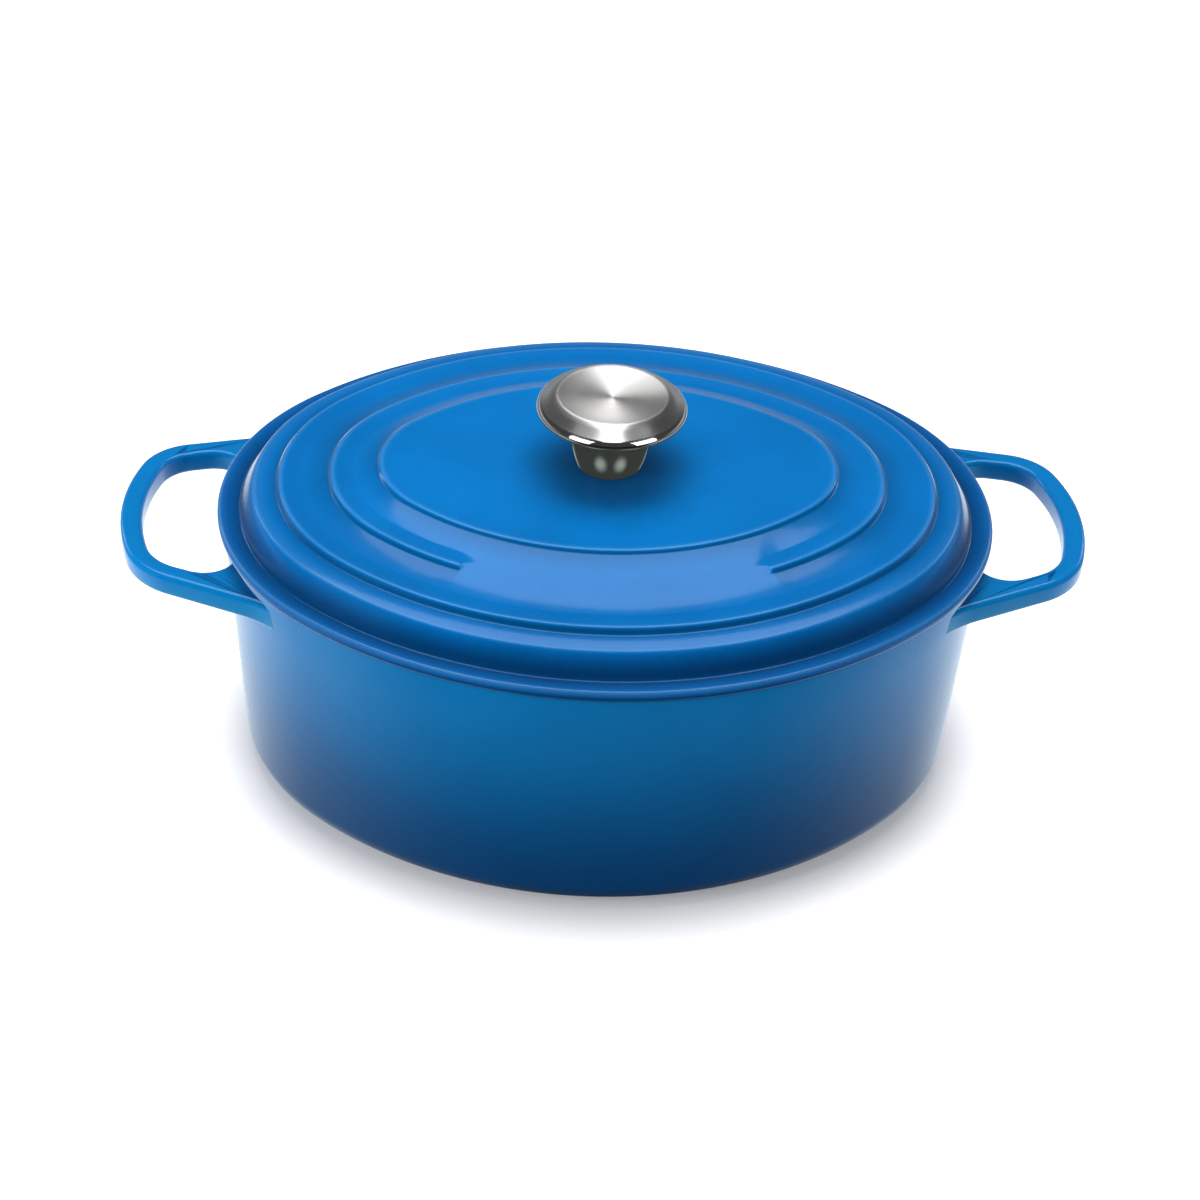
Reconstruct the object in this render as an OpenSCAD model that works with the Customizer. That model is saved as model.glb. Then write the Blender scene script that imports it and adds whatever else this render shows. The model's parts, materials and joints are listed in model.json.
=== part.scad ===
// Oval cast iron dutch oven: an enamelled pot with two loop handles, a lid with
// raised rings that lifts off, and a hollow steel knob screwed on from below.
// Origin: centre of the base. +X runs along the handles, -Y is the front, +Z is up.

/* [Oval plan] */
// Length of the lid over its flange
lid_l = 320; // [300:1:340]
// Width of the lid over its flange
lid_w = 257; // [246:1:270]
// Radius of the oval's round ends at the edge of the flange
end_r = 108; // [98:1:114]

/* [Pot] */
// Height of the pot's rim above the base
pot_h = 112.5; // [95:0.5:135]
// How far the pot's outer wall stands back from the edge of the lid
wall_inset = 2.4; // [2:0.1:3.6]
// Thickness of the iron wall
wall_t = 4.6; // [4:0.1:5.2]
// How far the wall leans in from rim to base
wall_lean = 5.5; // [3:0.5:10]
// Thickness of the iron floor
floor_t = 5; // [4:0.1:7]
// Radius of the cavity's bottom corner
inner_corner_r = 20; // [16:0.5:26]
// Radius of the outer bottom corner
corner_r = 13; // [9:0.5:18]
// Thickness of the enamel coats that are separate shells
enamel_t = 0.5; // [0.4:0.05:0.7]

/* [Handles] */
// Length of the pot over both handles
handles_l = 399; // [394:1:410]
// Radius of the outer corners of a handle
handle_r = 28; // [24:0.5:32]
// Radius of the bowed end of a handle
bow_r = 100; // [80:1:130]
// Direction to which the bowed end turns before a corner begins
bow_turn = 18; // [14:0.5:21]
// Direction that a handle's corners turn to before the flanks run straight to the pot
handle_turn = 71.5; // [66:0.5:76]
// Width of the bar of a handle
handle_bar = 9; // [7.5:0.25:11]
// Thickness of a handle
handle_t = 9.5; // [8:0.25:12]
// Drop from the rim of the pot to the top of a handle, under the edge of the lid
handle_drop = 2.6; // [2:0.1:6]
// Rise of a handle for each mm outwards
handle_rise = 0.08; // [0:0.01:0.14]
// Radius along the edges of a handle
handle_edge = 2.4; // [1.5:0.1:3.6]
// Radius of the webs that join a handle's flanks to the pot
web_r = 12; // [8:0.5:15]

/* [Lid] */
// Thickness of the flange at the edge of the lid
flange_t = 4.4; // [3.8:0.1:5.5]
// Height of the central plateau above the flange
dome_h = 18.5; // [16.5:0.1:21]
// Thickness of the iron in the middle of the lid
lid_t = 4.2; // [3.6:0.1:4.8]
// Depth of the locating ridge below the rim of the pot
ridge_h = 4; // [3:0.1:6]
// Thickness of the locating ridge
ridge_t = 3.5; // [2.5:0.1:4]
// Gap between the locating ridge and the lining of the pot
ridge_gap = 1.2; // [0.8:0.1:1.8]

/* [Rings on the lid] */
// Distance from the edge of the lid to the outer ring's crest
outer_ring_in = 26.3; // [25:0.1:28]
// Distance from the edge of the lid to the middle ring's crest
middle_ring_in = 47.3; // [46:0.1:49]
// Distance from the edge of the lid to the inner ring's crest
inner_ring_in = 67.2; // [66:0.1:69]
// Height of the outer ring's crest above the flange
outer_ring_z = 12; // [11:0.1:12.6]
// Height of the middle ring's crest above the flange
middle_ring_z = 14.7; // [14:0.1:15.4]
// Height of the ledge outside the outer ring, above the flange
ledge_z = 9; // [8:0.1:9.6]
// Height of the middle ring's outer step
middle_step = 1.8; // [1.2:0.1:2.2]
// Height of the inner ring's outer step
inner_step = 1.4; // [0.9:0.1:1.8]
// Width of the sloping outer step of a ring
step_w = 2.6; // [2:0.1:3.4]
// Width of the scoop inside each crest
scoop_w = 8.6; // [7:0.1:10]
// Depth of the scoop inside each crest
scoop_h = 1; // [0.6:0.1:1.3]
// Half length of the smooth panel at the front that interrupts the middle ring
panel_half = 60; // [45:1:66]

/* [Knob] */
// Radius of the knob at its widest
knob_r = 30.5; // [28.5:0.5:33]
// Radius of the dished top of the knob
dish_r = 24; // [21:0.5:25.5]
// Depth of the dish
dish_depth = 1.2; // [0.8:0.1:1.6]
// Height of the widest point above the lid
waist_h = 25.8; // [24:0.1:30]
// Height of the sloping shoulder between the widest point and the dish
shoulder_h = 6.7; // [5:0.1:8]
// Thickness of the pressed steel
sheet_t = 1.2; // [0.9:0.05:1.4]
// Radius of the knob's foot
foot_r = 13.4; // [12:0.1:14.5]
// Height of the straight part of the knob's foot
foot_h = 0.8; // [0.5:0.1:2]
// Radius of the neck under the knob's collar
neck_r = 16; // [15:0.1:17]
// Height of the collar above the lid
collar_h = 20.5; // [18.5:0.1:21]
// Radius of the collar
collar_r = 17.6; // [17.2:0.1:19]
// Height of the threaded insert in the foot
insert_h = 13; // [11:0.5:15]

/* [Knob screw] */
// Radius of the screw's shank
screw_r = 3; // [2.5:0.1:3.5]
// Length of the screw under its head
screw_l = 17; // [15:0.5:18]
// Radius of the screw's head
head_r = 5.6; // [5.2:0.1:6.4]
// Height of the screw's head
head_h = 4; // [3:0.1:4.5]
// Width of the slots in the screw's head
slot_w = 1.2; // [0.8:0.1:1.6]
// Depth of the slots in the screw's head
slot_d = 1.8; // [1.2:0.1:2.2]
// Radial clearance round the screw in the lid and the washers
screw_gap = 0.4; // [0.2:0.05:0.6]
// Radial clearance of the screw's thread in the insert
thread_gap = 0.03; // [0.01:0.01:0.08]
// Radius of the flat washer
washer_r = 8; // [7.4:0.1:9]
// Thickness of the flat washer
washer_t = 1.2; // [1:0.1:1.8]
// Radius of the spring washer
spring_r = 5.6; // [5:0.1:6.2]
// Thickness of the spring washer
spring_t = 1.6; // [1.2:0.1:2]
// Width of the split in the spring washer
spring_split = 1; // [0.6:0.1:1.6]

/* [Hidden] */
$fn = 64;
end_steps = 14;
side_steps = 16;

blue = [0.02, 0.27, 0.62];
sand = [0.86, 0.80, 0.68];
matt_black = [0.07, 0.07, 0.08];
steel = [0.72, 0.72, 0.71];
dark_steel = [0.45, 0.46, 0.46];

// Four-arc oval: round ends about (+-end_x, 0), sides about (0, +-side_y)
half_l = lid_l / 2;
half_w = lid_w / 2;
end_x = half_l - end_r;
side_r = (end_x * end_x + half_w * half_w - end_r * end_r) / (2 * (half_w - end_r));
side_y = side_r - half_w;
join_angle = atan2(side_y, end_x);
sliver = 0.01;

// Heights
rim_z = pot_h;
rim_iron_z = rim_z - enamel_t;
flange_z = rim_z + enamel_t;
flange_top = flange_z + flange_t;
plateau_top = flange_top + dome_h;
plateau_under = plateau_top - lid_t;
lining_under = plateau_under - enamel_t;
ridge_z = rim_z - ridge_h;

// Offsets from the edge of the flange, negative inwards
wall_foot = -wall_inset - wall_lean;
mouth = -wall_inset - wall_t;
ridge_out = mouth - enamel_t - ridge_gap;
ridge_in = ridge_out - ridge_t;
pot_core = -60;
lid_core = -inner_ring_in - 1.25 * scoop_w;
edge_r = 0.42 * flange_t;
moat = -8;
moat_drop = 1;
shoulder = moat - 8;

function arc(cx, cz, r, a0, a1, n) =
    [for (i = [0:n]) let (a = a0 + (a1 - a0) * i / n) [cx + r * cos(a), cz + r * sin(a)]];
function flipped(points) = [for (i = [len(points) - 1:-1:0]) points[i]];
function moved(points, by) = [for (p = points) p + by];
// Even steps from a up to, but without, b
function spread(a, b, n) = [for (i = [0:n - 1]) a + (b - a) * i / n];
// An S-shaped run from a to b
function ease(a, b, n) =
    [for (i = [0:n]) let (t = i / n)
        [a[0] + (b[0] - a[0]) * t, a[1] + (b[1] - a[1]) * t * t * (3 - 2 * t)]];

// Stations round the oval: [centre x, centre y, radius, direction]
panel_turn = asin(panel_half / (side_r - middle_ring_in));
panel_soft = 2.5;
side_turn = 90 - join_angle;
stations = [
    for (a = spread(-join_angle, join_angle, end_steps)) [end_x, 0, end_r, a],
    for (a = spread(join_angle, 180 - join_angle, side_steps)) [0, -side_y, side_r, a],
    for (a = spread(180 - join_angle, 180 + join_angle, end_steps)) [-end_x, 0, end_r, a],
    for (a = concat(
        spread(-side_turn, -panel_turn, 3), spread(-panel_turn, panel_soft - panel_turn, 3),
        spread(panel_soft - panel_turn, panel_turn - panel_soft, 12),
        spread(panel_turn - panel_soft, panel_turn, 3), spread(panel_turn, side_turn, 3)
    )) [0, side_y, side_r, a - 90]
];
function round_oval(off, z) =
    [for (s = stations) [s[0] + (s[2] + off) * cos(s[3]), s[1] + (s[2] + off) * sin(s[3]), z]];

// A closed skin over a row of loops of points, capped at both ends or closed on itself
module skin(loops, closed_row = false) {
    n = len(loops[0]);
    m = len(loops);
    rows = closed_row ? m : m - 1;
    polyhedron([for (loop = loops) each loop], [
        for (j = [0:rows - 1], i = [0:n - 1])
            let (k = (i + 1) % n, a = j * n, b = ((j + 1) % m) * n) each
            [[a + i, b + i, b + k], [a + i, b + k, a + k]],
        if (!closed_row) [for (i = [0:n - 1]) i],
        if (!closed_row) [for (i = [n - 1:-1:0]) (m - 1) * n + i]
    ]);
}

// [offset, z] points carried round the oval, from the middle of the under side outwards
// and back to the middle of the upper side, or as a closed ring
module oval_solid(profile) skin([for (p = profile) round_oval(p[0], p[1])]);
module oval_ring(profile) skin([for (p = profile) round_oval(p[0], p[1])], true);

// Outer wall of the pot, and its cavity moved inwards by an inset, both from the bottom up
function wall_at(z) = wall_foot + wall_lean * z / pot_h;
function pot_outside(top) =
    [[pot_core, 0], each arc(wall_at(corner_r) - corner_r, corner_r, corner_r, -90, 0, 7), [wall_at(top), top]];
function pot_inside(inset, top) =
    let (r = inner_corner_r - inset, z = floor_t + inner_corner_r, x = wall_at(z) - wall_t - inset)
    [[pot_core, z - r], each arc(x - r, z, r, -90, 0, 7), [wall_at(top) - wall_t - inset, top]];

module pot_body() color(blue)
    oval_solid(concat(pot_outside(rim_iron_z), flipped(pot_inside(0, rim_iron_z))));

module pot_lining() color(sand)
    oval_solid(concat(pot_inside(0, rim_iron_z), flipped(pot_inside(enamel_t, rim_iron_z))));

module pot_rim_coat() color(matt_black)
    oval_ring([
        [wall_at(rim_z) - wall_t - enamel_t, rim_iron_z], [wall_at(rim_z), rim_iron_z],
        [wall_at(rim_z), rim_z], [wall_at(rim_z) - wall_t - enamel_t, rim_z]
    ]);

// Rounded section of a handle's bar, measured out from its inner side
bar_section = [
    each arc(handle_bar - handle_edge, handle_edge, handle_edge, -90, 0, 4),
    each arc(handle_bar - handle_edge, handle_t - handle_edge, handle_edge, 0, 90, 4),
    each arc(handle_edge, handle_t - handle_edge, handle_edge, 90, 180, 4),
    each arc(handle_edge, handle_edge, handle_edge, 180, 270, 4)
];
bow_x = handles_l / 2 - bow_r;
handle_x = bow_x + (bow_r - handle_r) * cos(bow_turn);
handle_y = (bow_r - handle_r) * sin(bow_turn);
corner_turn = (handle_turn - bow_turn) / 8;
flank_l = 0.8 * (handle_x - end_x);
handle_z = rim_z - handle_drop - handle_t;

// Where the bar of a handle runs: [centre of the bend, direction, distance run past the bend, radius]
bar_run = [
    [[handle_x, handle_y], handle_turn, flank_l, handle_r],
    for (i = [0:8]) [[handle_x, handle_y], handle_turn - i * corner_turn, 0, handle_r],
    for (i = [1:7]) [[bow_x, 0], bow_turn * (1 - i / 4), 0, bow_r],
    for (i = [0:8]) [[handle_x, -handle_y], -bow_turn - i * corner_turn, 0, handle_r],
    [[handle_x, -handle_y], -handle_turn, -flank_l, handle_r]
];
function bar_loop(run) = [
    for (p = bar_section) let (r = run[3] - handle_bar + p[0], d = [cos(run[1]), sin(run[1])])
        let (x = run[0][0] + r * d[0] - run[2] * d[1])
        [x, run[0][1] + r * d[1] + run[2] * d[0], handle_z + p[1] + handle_rise * (x - half_l)]
];

// A web in the corner between a flank and the pot, on its inner (-1) or outer (1) side
module web(side) {
    d = [cos(handle_turn), sin(handle_turn)];
    along = [-d[1], d[0]];
    face = handle_r - (side < 0 ? handle_bar : 0);
    line = [handle_x, handle_y] + (face + side * web_r) * d;
    wall = end_r + wall_at(handle_z);
    from = line - [end_x, 0];
    half = from * along;
    root = sqrt(half * half - from * from + (wall + web_r) * (wall + web_r));
    c = line + (half < 0 ? root - half : -root - half) * along;
    to_wall = atan2(c[1], c[0] - end_x) + 180;
    to_bar = handle_turn + (side < 0 ? 0 : 180);
    turn = to_wall - to_bar;
    sweep = turn > 180 ? turn - 360 : turn < -180 ? turn + 360 : turn;
    lip = handle_edge / 2;
    multmatrix([
        [1, 0, 0, 0], [0, 1, 0, 0],
        [handle_rise, 0, 1, handle_z + lip / 2 - handle_rise * half_l], [0, 0, 0, 1]
    ]) linear_extrude(handle_t - lip) polygon([
        each moved(arc(0, 0, web_r, to_bar, to_bar + sweep, 8), c),
        c + (web_r + wall_t) * [cos(to_wall), sin(to_wall)],
        line + (flank_l - web_r) * along - side * (web_r + handle_bar / 2) * d,
        c - side * (web_r + handle_bar / 2) * d
    ]);
}

module right_handle() color(blue)
    difference() {
        union() {
            skin([for (run = bar_run) bar_loop(run)]);
            for (flip = [0, 1]) mirror([0, flip, 0]) {
                web(-1);
                web(1);
            }
        }
        oval_solid(concat(pot_outside(rim_iron_z), [[pot_core, rim_iron_z]]));
    }

module left_handle() rotate(180) right_handle();

// Upper surface of the lid, from the edge inwards, with the middle ring raised by a share
function ring(distance, crest, step, share) =
    let (ground = crest - step)
    [each ease([step_w - distance, ground], [-distance, ground + step * share], 4),
        [-distance - scoop_w * 0.12, ground + step * share],
        [-distance - scoop_w * 0.35, ground + (step - scoop_h * 0.8) * share],
        [-distance - scoop_w * 0.65, ground + (step - scoop_h) * share],
        [-distance - scoop_w, ground + step * share - scoop_h * 0.6 * share]];
function lid_top(share) = [
    each arc(-edge_r, flange_t - edge_r, edge_r, 0, 90, 4),
    each ease([moat, flange_t - moat_drop], [shoulder, flange_t + ledge_z], 8),
    each moved(ring(outer_ring_in, outer_ring_z, outer_ring_z - ledge_z, 1), [0, flange_t]),
    each moved(ring(middle_ring_in, middle_ring_z, middle_step, share), [0, flange_t]),
    each moved(ring(inner_ring_in, dome_h, inner_step, 1), [0, flange_t]),
    [lid_core, flange_t + dome_h]
];
// Under side of the lid, from the middle outwards to the foot of the locating ridge
under_edge = [ridge_in - 7, flange_t + ledge_z - lid_t];
lid_under = [
    [lid_core, flange_t + dome_h - lid_t],
    [-inner_ring_in - scoop_w / 2, flange_t + dome_h - lid_t],
    [-inner_ring_in + scoop_w, flange_t + dome_h - lid_t - inner_step - scoop_h],
    [-middle_ring_in, flange_t + middle_ring_z - lid_t - middle_step],
    [-outer_ring_in - scoop_w / 2, flange_t + outer_ring_z - lid_t - scoop_h],
    each flipped(ease([ridge_in, 0], under_edge, 4))
];
function lid_section(share) = moved([
    each lid_under,
    [ridge_in, ridge_z - flange_z],
    [ridge_out, ridge_z - flange_z],
    [ridge_out, 0],
    each arc(-edge_r, edge_r, edge_r, -90, -22.5, 3),
    each lid_top(share)
], [0, flange_z]);
// Share of the middle ring left at a station: none in the smooth panel at the front
function ring_share(s) =
    let (t = (abs(s[3] + 90) - panel_turn) / panel_soft + 1)
    s[1] > 0 ? min(1, max(0, t)) : 1;

module screw_hole()
    translate([0, 0, rim_z]) cylinder(r = screw_r + screw_gap, h = 2 * dome_h);

module lid_body() color(blue)
    difference() {
        sections = [for (s = stations) lid_section(ring_share(s))];
        skin([for (j = [0:len(sections[0]) - 1]) [
            for (i = [0:len(stations) - 1]) let (s = stations[i], p = sections[i][j])
                [s[0] + (s[2] + p[0]) * cos(s[3]), s[1] + (s[2] + p[0]) * sin(s[3]), p[1]]
        ]]);
        screw_hole();
    }

module lid_lining() color(sand)
    difference() {
        foot = [[ridge_in, ridge_z - flange_z + enamel_t]];
        face = concat(lid_under, foot);
        oval_solid(moved([
            [lid_core, flange_t + dome_h - lid_t - enamel_t],
            each moved([for (i = [1:len(face) - 1]) face[i]], [-enamel_t, -enamel_t]),
            each flipped(face)
        ], [0, flange_z]));
        screw_hole();
    }

module lid_rim_coat() color(matt_black)
    oval_ring([[ridge_out, rim_z], [-edge_r, rim_z], [-edge_r, flange_z], [ridge_out, flange_z]]);

// Hollow steel knob, in heights above the plateau
module knob_cap() color(steel)
    translate([0, 0, plateau_top]) rotate_extrude() {
        top = waist_h + shoulder_h;
        lip = sheet_t / 2;
        polygon([
            [0, top - dish_depth], [dish_r - lip, top - lip],
            each arc(dish_r, top - lip, lip, 120, 45, 3),
            each arc(knob_r - lip, waist_h, lip, 45, -90, 5),
            [knob_r - sheet_t, waist_h - lip],
            [knob_r - sheet_t - lip, waist_h + lip], [dish_r - lip, top - lip - sheet_t],
            [0, top - dish_depth - sheet_t]
        ]);
    }

module knob_neck() color(dark_steel)
    translate([0, 0, plateau_top]) rotate_extrude() {
        collar_step = collar_r - neck_r;
        rim_r = knob_r - sheet_t;
        bowl = [
            for (i = [0:8])
                [neck_r - (neck_r - foot_r) * pow(1 - i / 8, 3), foot_h + (collar_h - foot_h) * i / 8]
        ];
        outside = [
            [foot_r, 0],
            each bowl,
            [collar_r, collar_h + collar_step / 3],
            [collar_r, collar_h + collar_step],
            [rim_r, waist_h - sheet_t / 2]
        ];
        polygon([
            each outside,
            [rim_r - sheet_t, waist_h + sheet_t / 2],
            [collar_r, collar_h + collar_step + sheet_t],
            [neck_r - sheet_t, collar_h + sheet_t],
            each flipped(moved(bowl, [-sheet_t, 0])),
            [foot_r - sheet_t, 0]
        ]);
    }

module knob_insert() color(steel)
    translate([0, 0, plateau_top]) difference() {
        cylinder(r = foot_r - sheet_t, h = insert_h);
        translate([0, 0, -sliver]) cylinder(r = screw_r + thread_gap, h = insert_h - sheet_t);
    }

// Fasteners under the lid, stacked down from its lining
module washer(outer, t, top)
    translate([0, 0, top - t]) difference() {
        cylinder(r = outer, h = t);
        translate([0, 0, -t]) cylinder(r = screw_r + screw_gap, h = 3 * t);
    }

module flat_washer() color(steel)
    washer(washer_r, washer_t, lining_under);

module spring_washer() color(steel)
    difference() {
        washer(spring_r, spring_t, lining_under - washer_t);
        translate([0, -spring_split / 2, plateau_under - lid_l / 4]) cube([spring_r * 2, spring_split, lid_l]);
    }

module knob_screw() color(steel)
    translate([0, 0, lining_under - washer_t - spring_t]) difference() {
        union() {
            cylinder(r = screw_r, h = screw_l);
            translate([0, 0, -head_h]) cylinder(r1 = head_r - head_h / 4, r2 = head_r, h = head_h);
        }
        for (turn = [0, 90]) rotate(turn)
            translate([-head_r * 0.6, -slot_w / 2, -head_h - sliver])
                cube([head_r * 1.2, slot_w, slot_d]);
    }

pot_body();
left_handle();
right_handle();
pot_lining();
pot_rim_coat();
lid_body();
lid_lining();
lid_rim_coat();
knob_cap();
knob_neck();
knob_insert();
knob_screw();
spring_washer();
flat_washer();
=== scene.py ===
import json
import math

import bpy
from mathutils import Matrix, Vector

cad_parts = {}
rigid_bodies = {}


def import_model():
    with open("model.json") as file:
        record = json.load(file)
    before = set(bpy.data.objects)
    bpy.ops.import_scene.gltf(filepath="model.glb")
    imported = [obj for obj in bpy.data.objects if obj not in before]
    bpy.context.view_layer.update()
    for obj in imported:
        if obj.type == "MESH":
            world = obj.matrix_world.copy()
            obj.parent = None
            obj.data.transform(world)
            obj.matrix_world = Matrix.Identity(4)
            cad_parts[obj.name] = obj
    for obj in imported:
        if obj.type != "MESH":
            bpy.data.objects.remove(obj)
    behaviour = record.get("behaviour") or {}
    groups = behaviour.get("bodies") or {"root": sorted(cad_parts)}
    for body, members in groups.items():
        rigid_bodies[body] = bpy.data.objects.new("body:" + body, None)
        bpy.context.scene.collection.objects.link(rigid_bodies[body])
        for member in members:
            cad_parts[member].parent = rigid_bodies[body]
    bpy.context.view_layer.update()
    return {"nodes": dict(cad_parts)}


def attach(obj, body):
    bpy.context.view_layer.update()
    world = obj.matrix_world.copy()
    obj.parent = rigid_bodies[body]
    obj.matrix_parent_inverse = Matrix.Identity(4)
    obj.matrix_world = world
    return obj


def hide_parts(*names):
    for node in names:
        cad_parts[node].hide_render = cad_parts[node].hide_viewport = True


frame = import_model()

# ---------------------------------------------------------------------------
# The pot: one iron casting, 4.6 mm thick, poured in sand, blasted and coated
# outside with blue glass enamel, its colour darker towards the base.
# Its plan is an oval of four arcs, and its wall leans in a little to the base.
# ---------------------------------------------------------------------------
LID_HALF_LENGTH = 0.160
LID_HALF_WIDTH = 0.1285
END_RADIUS = 0.108
end_x = LID_HALF_LENGTH - END_RADIUS
side_radius = (end_x**2 + LID_HALF_WIDTH**2 - END_RADIUS**2) / (2 * (LID_HALF_WIDTH - END_RADIUS))
side_y = side_radius - LID_HALF_WIDTH
join = math.atan2(side_y, end_x)

POT_HEIGHT = 0.1125
COAT = 0.0005
WALL_INSET = 0.0024
WALL_LEAN = 0.0055
WALL = 0.0046
FLOOR = 0.005


def arc(cx, cz, r, start, end, steps):
    """Points of a rounded corner in a profile, angles in degrees."""
    out = []
    for i in range(steps + 1):
        a = math.radians(start + (end - start) * i / steps)
        out.append((cx + r * math.cos(a), cz + r * math.sin(a)))
    return out


def ease(a, b, steps):
    """An S-shaped run from a to b."""
    out = []
    for i in range(steps + 1):
        t = i / steps
        out.append((a[0] + (b[0] - a[0]) * t, a[1] + (b[1] - a[1]) * t * t * (3 - 2 * t)))
    return out


def draw_profile(name, points):
    """Draws a chain of edges through the points, as by hand: one vertex, extruded along."""
    bpy.ops.object.select_all(action="DESELECT")
    bpy.ops.mesh.primitive_plane_add(size=0.001, location=points[0])
    piece = bpy.context.object
    piece.name = piece.data.name = name
    bpy.ops.object.transform_apply(location=True, rotation=False, scale=False)
    bpy.ops.object.mode_set(mode="EDIT")
    bpy.ops.mesh.select_all(action="SELECT")
    bpy.ops.mesh.merge(type="CENTER")
    for a, b in zip(points, points[1:]):
        step = Vector(b) - Vector(a)
        bpy.ops.mesh.extrude_vertices_move(TRANSFORM_OT_translate={"value": step})
    bpy.ops.mesh.select_all(action="SELECT")
    return piece


def close_up(piece, angle=35):
    """Merges the seam, closes the middle, points the faces outwards and smooths them."""
    bpy.ops.mesh.select_all(action="SELECT")
    bpy.ops.mesh.remove_doubles(threshold=0.000002)
    bpy.ops.mesh.fill_holes(sides=0)
    bpy.ops.mesh.select_all(action="SELECT")
    bpy.ops.mesh.normals_make_consistent(inside=False)
    bpy.ops.object.mode_set(mode="OBJECT")
    bpy.ops.object.shade_smooth_by_angle(angle=math.radians(angle))
    return piece


def carry_round_oval(name, profile, end_steps=56, side_steps=64, front=()):
    """Spins a profile of (distance out from the lid's edge, height) round the oval's four arcs."""
    c, s = math.cos(join), math.sin(join)
    points = [(end_x + (END_RADIUS + d) * c, -(END_RADIUS + d) * s, z) for d, z in profile]
    piece = draw_profile(name, points)
    front = front or [(math.pi - 2 * join, side_steps)]
    for centre, angle, steps in (
        ((end_x, 0, 0), 2 * join, end_steps),
        ((0, -side_y, 0), math.pi - 2 * join, side_steps),
        ((-end_x, 0, 0), 2 * join, end_steps),
        *(((0, side_y, 0), angle, steps) for angle, steps in front),
    ):
        bpy.ops.mesh.spin(steps=steps, angle=angle, center=centre, axis=(0, 0, -1))
    return close_up(piece)


def wall_at(z):
    return -WALL_INSET - WALL_LEAN + WALL_LEAN * z / POT_HEIGHT


def distance_out(x, y):
    """Distance of a place in plan from the edge of the lid, negative inwards."""
    x, y = abs(x), abs(y)
    if math.atan2(y, x - end_x) < join:
        return math.hypot(x - end_x, y) - END_RADIUS
    return math.hypot(x, y + side_y) - side_radius


outside = [(-0.060, 0.0005), (-0.0290, 0.0005), (-0.0280, 0.0), (-0.0240, 0.0)]
outside += arc(wall_at(0.013) - 0.013, 0.013, 0.013, -90, 0, 14)
outside += [(wall_at(z), z) for z in (0.035, 0.055, 0.075, 0.095)]
rim_z = POT_HEIGHT - COAT
outside += arc(wall_at(rim_z) - 0.0009, rim_z - 0.0009, 0.0009, 0, 90, 4)
cavity_x = wall_at(FLOOR + 0.020) - WALL
inside = [(wall_at(rim_z) - WALL, rim_z)]
inside += arc(cavity_x - 0.020, FLOOR + 0.020, 0.020, 0, -90, 14)
inside += [(-0.060, FLOOR)]
pot = carry_round_oval("pot_casting", outside + inside)


def new_material(name, slot_colour):
    """An empty material with its shader and its output."""
    material = bpy.data.materials.new(name)
    material.use_nodes = True
    material.diffuse_color = (*slot_colour, 1.0)
    shader = material.node_tree.nodes["Principled BSDF"]
    return material, material.node_tree, shader


def put_on(piece, material, slot, body, *nodes):
    """Gives a piece its material, its body and the CAD nodes that it stands for; the slot is not used."""
    piece.data.materials.clear()
    piece.data.materials.append(material)
    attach(piece, body)
    if nodes:
        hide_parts(*nodes)


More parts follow.
